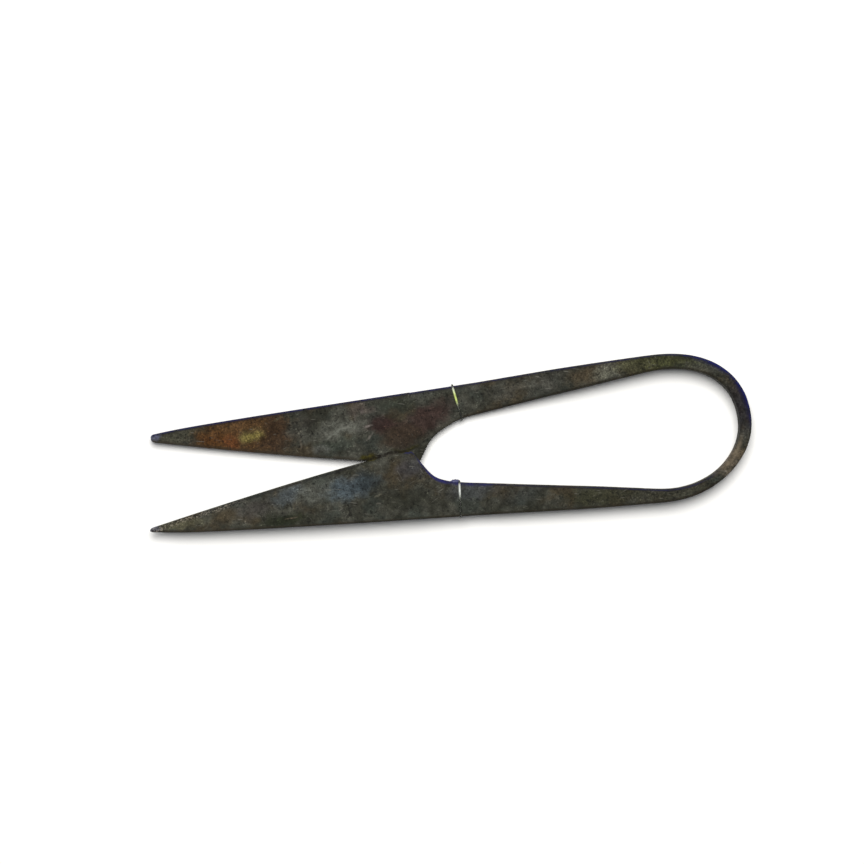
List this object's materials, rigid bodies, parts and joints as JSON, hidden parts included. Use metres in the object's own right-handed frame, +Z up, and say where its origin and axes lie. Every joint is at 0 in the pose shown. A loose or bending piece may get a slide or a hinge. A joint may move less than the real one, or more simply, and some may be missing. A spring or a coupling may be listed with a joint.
{
  "type": "thread snips",
  "caption": "Forged iron thread snips: a round spring bow, flattened shanks and pointed blades that cross near their heels, steel-faced inside.",
  "frame": {"origin": "middle of the footprint, on the surface that the snips lie on", "axes": "+X along the snips from the tips to the spring bow, +Y towards the right arm as held with the tips pointing away, +Z up, away from the surface that they lie on"},
  "size_m": [0.1114, 0.0272, 0.0046],
  "materials": {
    "forged_iron": "dark forge scale with rust patches",
    "edge_steel": "worn and darkened",
    "clear_line": "clear nylon"
  },
  "bodies": {
    "bow": {"spring_bow": "forged_iron"},
    "right_arm": {"right_spring_leg": "forged_iron", "right_shank": "forged_iron", "right_blade": "forged_iron", "right_edge_steel": "edge_steel", "right_tie": "clear_line"},
    "left_arm": {"left_spring_leg": "forged_iron", "left_shank": "forged_iron", "left_blade": "forged_iron", "left_edge_steel": "edge_steel", "left_tie": "clear_line", "left_tie_knot": "clear_line"}
  },
  "joints": [
    {"name": "right_flex", "type": "hinge", "parent": "bow", "child": "right_arm", "pos_m": [0.05051, 0.00901, 0.0023], "axis": [0, 0, 1], "range_deg": [0, 5], "stiffness_Nm_per_rad": 12},
    {"name": "left_flex", "type": "hinge", "parent": "bow", "child": "left_arm", "pos_m": [0.05005, -0.00873, 0.0023], "axis": [0, 0, -1], "range_deg": [0, 5], "stiffness_Nm_per_rad": 12}
  ],
  "couplings": [
    {"joint": "left_flex", "follows": "right_flex", "ratio": 1}
  ]
}
